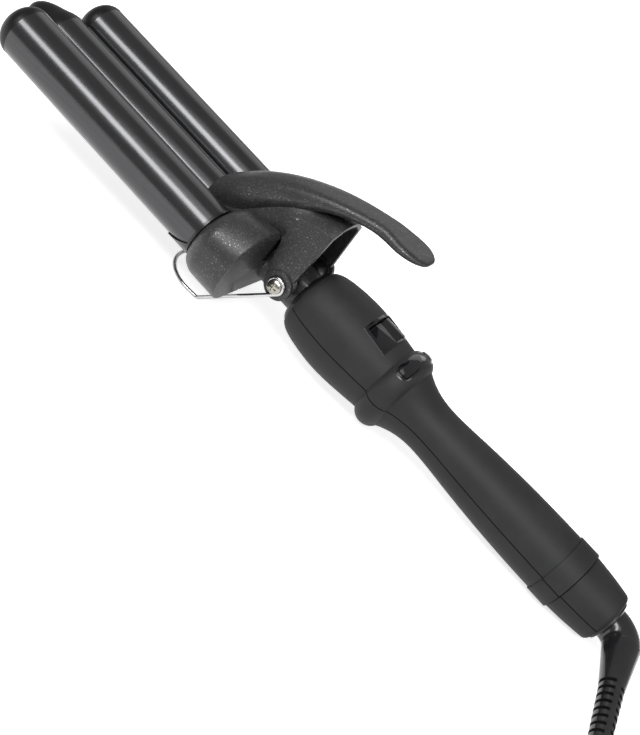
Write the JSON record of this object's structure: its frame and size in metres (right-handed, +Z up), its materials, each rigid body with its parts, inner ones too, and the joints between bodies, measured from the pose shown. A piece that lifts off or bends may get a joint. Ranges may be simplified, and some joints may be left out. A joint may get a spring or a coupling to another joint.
{
  "type": "three-barrel hair waver",
  "caption": "Hair waver with three round heated barrels, a sprung clamp lever carrying the centre barrel, a wire stand, a profiled hand grip and a swivelling mains cord with plug.",
  "frame": {"origin": "on the table under the middle of the tool without its cord, as it stands on its wire stand and its rear band", "axes": "+X along the tool towards the barrel tips, +Y to the tool's left-hand side, where the cord leads off, +Z up"},
  "size_m": [0.5112, 0.1798, 0.0819],
  "materials": {
    "grip": "black soft-touch coating, very low sheen",
    "moulding": "black glass-filled plastic with a fine sparkle grain",
    "barrel": "dark grey ceramic-type coating on aluminium, satin with long highlights",
    "cap": "black heat-proof plastic, satin",
    "spreader": "bare extruded aluminium",
    "element": "flat heater pack in its metal wrap",
    "bright_metal": "plain bright steel",
    "screw": "nickel plated, cross recess",
    "wire": "bright plated wire",
    "gloss_black": "black, polished",
    "inner_plastic": "black plastic",
    "lens": "smoked clear plastic",
    "board": "green circuit board with black parts",
    "cord": "black flexible sheath, low sheen",
    "plug": "black moulded plug",
    "brass": "nickel plated brass pins"
  },
  "bodies": {
    "handle": {"handle_upper_shell": "grip", "handle_lower_shell": "grip", "front_collar": "grip", "housing_screws": "screw", "neck_tube": "bright_metal", "jaw_base": "moulding", "barrel_collar_left": "moulding", "barrel_collar_right": "moulding", "barrel_left": "barrel", "barrel_right": "barrel", "tip_cap_left": "cap", "tip_cap_right": "cap", "heat_spreader_left": "spreader", "heat_spreader_right": "spreader", "heating_element_left": "element", "heating_element_right": "element", "pivot_spacers": "bright_metal", "pivot_screws": "screw", "clamp_spring": "bright_metal", "switch_bezel": "gloss_black", "button_bezel": "gloss_black", "indicator_lens": "lens", "control_board": "board", "swivel_socket": "inner_plastic"},
    "clamp": {"clamp_lever": "moulding", "barrel_centre": "barrel", "tip_cap_centre": "cap", "heat_spreader_centre": "spreader", "heating_element_centre": "element", "barrel_holder": "inner_plastic"},
    "stand": {"stand_wire": "wire"},
    "rocker": {"rocker_switch": "gloss_black"},
    "plus": {"button_plus": "gloss_black"},
    "minus": {"button_minus": "gloss_black"},
    "cord_end": {"swivel_ball": "inner_plastic", "strain_relief": "cord", "cord_run": "cord", "cord_coil": "cord", "cord_tail": "cord", "plug_body": "plug", "plug_pins": "brass"}
  },
  "joints": [
    {"name": "clamp_hinge", "type": "hinge", "parent": "handle", "child": "clamp", "pos_m": [0.00689, 0, 0.0333], "axis": [0, -1, 0], "range_deg": [0, 27], "stiffness_Nm_per_rad": 0.5, "springref_deg": -40.11},
    {"name": "stand_swing", "type": "hinge", "parent": "handle", "child": "stand", "pos_m": [0.00689, 0, 0.0333], "axis": [0, 1, 0], "range_deg": [0, 95]},
    {"name": "rocker_tilt", "type": "hinge", "parent": "handle", "child": "rocker", "pos_m": [-0.03916, 0, 0.03823], "axis": [0.9968, 0, 0.0801], "range_deg": [0, 16]},
    {"name": "plus_press", "type": "slide", "parent": "handle", "child": "plus", "axis": [0.0707, -0.4695, -0.8801], "range_m": [0, 0.0008], "stiffness_N_per_m": 600, "springref_m": -0.001},
    {"name": "minus_press", "type": "slide", "parent": "handle", "child": "minus", "axis": [0.0707, 0.4695, -0.8801], "range_m": [0, 0.0008], "stiffness_N_per_m": 600, "springref_m": -0.001},
    {"name": "cord_swivel", "type": "hinge", "parent": "handle", "child": "cord_end", "pos_m": [-0.19714, 0, 0.013], "axis": [0.9968, 0, 0.0801], "continuous": true}
  ]
}
